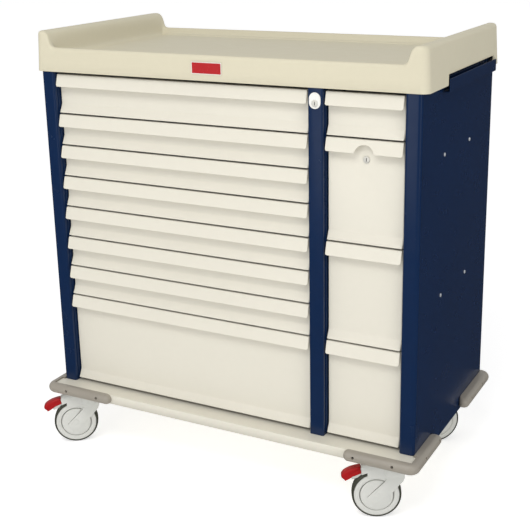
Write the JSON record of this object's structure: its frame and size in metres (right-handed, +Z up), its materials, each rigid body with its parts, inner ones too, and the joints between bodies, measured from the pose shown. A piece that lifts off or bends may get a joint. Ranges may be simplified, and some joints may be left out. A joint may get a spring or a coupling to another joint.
{
  "type": "medication cart",
  "caption": "Two-bank hospital medication cart with drawers of several heights, a ridged top tray, side rails, corner bumpers and swivel casters.",
  "frame": {"origin": "on the floor, at the bottom centre of the whole cart, brake pedals included", "axes": "+Z up, drawers open towards -Y, +X to the right when facing the drawers, towards the narrow bank"},
  "size_m": [1.1376, 0.633, 1.1783],
  "materials": {
    "navy_powder_coat": "glossy navy powder coat on steel sheet",
    "cream_enamel": "satin cream enamel on steel sheet",
    "zinc_steel": "zinc-plated sheet steel",
    "tray_plastic": "fine-textured cream moulded plastic",
    "bumper_rubber": "taupe moulded vinyl",
    "white_plastic": "white moulded plastic",
    "lock_chrome": "polished nickel",
    "plate_red": "plain glossy plate with no mark",
    "caster_grey": "light grey glass-filled nylon",
    "caster_tyre": "dark olive-grey thermoplastic rubber tread",
    "pedal_red": "red moulded plastic"
  },
  "bodies": {
    "cabinet": {"left_side_panel": "navy_powder_coat", "right_side_panel": "navy_powder_coat", "back_panel": "navy_powder_coat", "center_divider": "navy_powder_coat", "base_frame": "cream_enamel", "left_bank_left_slide_rack": "zinc_steel", "left_bank_right_slide_rack": "zinc_steel", "right_bank_left_slide_rack": "zinc_steel", "right_bank_right_slide_rack": "zinc_steel", "top_tray": "tray_plastic", "left_accessory_rail": "navy_powder_coat", "right_accessory_rail": "navy_powder_coat", "front_left_bumper": "bumper_rubber", "front_right_bumper": "bumper_rubber", "rear_right_bumper": "bumper_rubber", "rear_left_bumper": "bumper_rubber", "lock_escutcheon": "white_plastic", "blank_nameplate": "plate_red"},
    "left_drawer_1": {"left_drawer_1_front": "cream_enamel", "left_drawer_1_box": "zinc_steel"},
    "left_drawer_2": {"left_drawer_2_front": "cream_enamel", "left_drawer_2_box": "zinc_steel"},
    "left_drawer_3": {"left_drawer_3_front": "cream_enamel", "left_drawer_3_box": "zinc_steel"},
    "left_drawer_4": {"left_drawer_4_front": "cream_enamel", "left_drawer_4_box": "zinc_steel"},
    "left_drawer_5": {"left_drawer_5_front": "cream_enamel", "left_drawer_5_box": "zinc_steel"},
    "left_drawer_6": {"left_drawer_6_front": "cream_enamel", "left_drawer_6_box": "zinc_steel"},
    "left_drawer_7": {"left_drawer_7_front": "cream_enamel", "left_drawer_7_box": "zinc_steel"},
    "left_drawer_8": {"left_drawer_8_front": "cream_enamel", "left_drawer_8_box": "zinc_steel"},
    "right_drawer_1": {"right_drawer_1_front": "cream_enamel", "right_drawer_1_box": "zinc_steel"},
    "right_drawer_2": {"right_drawer_2_front": "cream_enamel", "right_drawer_2_box": "zinc_steel"},
    "right_drawer_3": {"right_drawer_3_front": "cream_enamel", "right_drawer_3_box": "zinc_steel"},
    "right_drawer_4": {"right_drawer_4_front": "cream_enamel", "right_drawer_4_box": "zinc_steel"},
    "main_lock": {"main_lock_cylinder": "lock_chrome"},
    "lock_bar": {"lock_bar": "zinc_steel"},
    "drawer_lock": {"drawer_lock_cylinder": "lock_chrome"},
    "front_left_caster": {"front_left_caster_fork": "caster_grey"},
    "front_left_wheel": {"front_left_wheel": "caster_grey", "front_left_tyre": "caster_tyre"},
    "front_left_brake": {"front_left_brake_pedal": "pedal_red"},
    "front_right_caster": {"front_right_caster_fork": "caster_grey"},
    "front_right_wheel": {"front_right_wheel": "caster_grey", "front_right_tyre": "caster_tyre"},
    "front_right_brake": {"front_right_brake_pedal": "pedal_red"},
    "rear_right_caster": {"rear_right_caster_fork": "caster_grey"},
    "rear_right_wheel": {"rear_right_wheel": "caster_grey", "rear_right_tyre": "caster_tyre"},
    "rear_left_caster": {"rear_left_caster_fork": "caster_grey"},
    "rear_left_wheel": {"rear_left_wheel": "caster_grey", "rear_left_tyre": "caster_tyre"}
  },
  "joints": [
    {"name": "left_drawer_1_slide", "type": "slide", "parent": "cabinet", "child": "left_drawer_1", "axis": [0, -1, 0], "range_m": [0, 0.4]},
    {"name": "left_drawer_2_slide", "type": "slide", "parent": "cabinet", "child": "left_drawer_2", "axis": [0, -1, 0], "range_m": [0, 0.4]},
    {"name": "left_drawer_3_slide", "type": "slide", "parent": "cabinet", "child": "left_drawer_3", "axis": [0, -1, 0], "range_m": [0, 0.4]},
    {"name": "left_drawer_4_slide", "type": "slide", "parent": "cabinet", "child": "left_drawer_4", "axis": [0, -1, 0], "range_m": [0, 0.4]},
    {"name": "left_drawer_5_slide", "type": "slide", "parent": "cabinet", "child": "left_drawer_5", "axis": [0, -1, 0], "range_m": [0, 0.4]},
    {"name": "left_drawer_6_slide", "type": "slide", "parent": "cabinet", "child": "left_drawer_6", "axis": [0, -1, 0], "range_m": [0, 0.4]},
    {"name": "left_drawer_7_slide", "type": "slide", "parent": "cabinet", "child": "left_drawer_7", "axis": [0, -1, 0], "range_m": [0, 0.4]},
    {"name": "left_drawer_8_slide", "type": "slide", "parent": "cabinet", "child": "left_drawer_8", "axis": [0, -1, 0], "range_m": [0, 0.4]},
    {"name": "right_drawer_1_slide", "type": "slide", "parent": "cabinet", "child": "right_drawer_1", "axis": [0, -1, 0], "range_m": [0, 0.4]},
    {"name": "right_drawer_2_slide", "type": "slide", "parent": "cabinet", "child": "right_drawer_2", "axis": [0, -1, 0], "range_m": [0, 0.4]},
    {"name": "right_drawer_3_slide", "type": "slide", "parent": "cabinet", "child": "right_drawer_3", "axis": [0, -1, 0], "range_m": [0, 0.4]},
    {"name": "right_drawer_4_slide", "type": "slide", "parent": "cabinet", "child": "right_drawer_4", "axis": [0, -1, 0], "range_m": [0, 0.4]},
    {"name": "lock_bar_lift", "type": "slide", "parent": "cabinet", "child": "lock_bar", "axis": [0, 0, 1], "range_m": [0, 0.0119]},
    {"name": "main_lock_turn", "type": "hinge", "parent": "cabinet", "child": "main_lock", "pos_m": [0.2804, -0.25391, 1.0365], "axis": [0, 1, 0], "range_deg": [0, 90]},
    {"name": "drawer_lock_turn", "type": "hinge", "parent": "right_drawer_2", "child": "drawer_lock", "pos_m": [0.4028, -0.23491, 0.91], "axis": [0, 1, 0], "range_deg": [0, 90]},
    {"name": "front_left_swivel", "type": "hinge", "parent": "cabinet", "child": "front_left_caster", "pos_m": [-0.4567, -0.23291, 0.16], "axis": [0, 0, 1], "continuous": true},
    {"name": "front_left_wheel_spin", "type": "hinge", "parent": "front_left_caster", "child": "front_left_wheel", "pos_m": [-0.48865, -0.25528, 0.0625], "axis": [-0.5736, 0.8192, 0], "continuous": true},
    {"name": "front_left_brake_press", "type": "hinge", "parent": "front_left_caster", "child": "front_left_brake", "pos_m": [-0.52715, -0.28224, 0.1215], "axis": [0.5736, -0.8192, 0], "range_deg": [0, 14]},
    {"name": "front_right_swivel", "type": "hinge", "parent": "cabinet", "child": "front_right_caster", "pos_m": [0.4783, -0.23291, 0.16], "axis": [0, 0, 1], "continuous": true},
    {"name": "front_right_wheel_spin", "type": "hinge", "parent": "front_right_caster", "child": "front_right_wheel", "pos_m": [0.44295, -0.24939, 0.0625], "axis": [-0.4226, 0.9063, 0], "continuous": true},
    {"name": "front_right_brake_press", "type": "hinge", "parent": "front_right_caster", "child": "front_right_brake", "pos_m": [0.40036, -0.26926, 0.1215], "axis": [0.4226, -0.9063, 0], "range_deg": [0, 14]},
    {"name": "rear_right_swivel", "type": "hinge", "parent": "cabinet", "child": "rear_right_caster", "pos_m": [0.4783, 0.22209, 0.16], "axis": [0, 0, 1], "continuous": true},
    {"name": "rear_right_wheel_spin", "type": "hinge", "parent": "rear_right_caster", "child": "rear_right_wheel", "pos_m": [0.44932, 0.19599, 0.0625], "axis": [-0.6691, 0.7431, 0], "continuous": true},
    {"name": "rear_left_swivel", "type": "hinge", "parent": "cabinet", "child": "rear_left_caster", "pos_m": [-0.4567, 0.22209, 0.16], "axis": [0, 0, 1], "continuous": true},
    {"name": "rear_left_wheel_spin", "type": "hinge", "parent": "rear_left_caster", "child": "rear_left_wheel", "pos_m": [-0.49047, 0.20259, 0.0625], "axis": [-0.5, 0.866, 0], "continuous": true}
  ],
  "couplings": [
    {"joint": "main_lock_turn", "follows": "lock_bar_lift", "rad_per_m": 131.5}
  ]
}
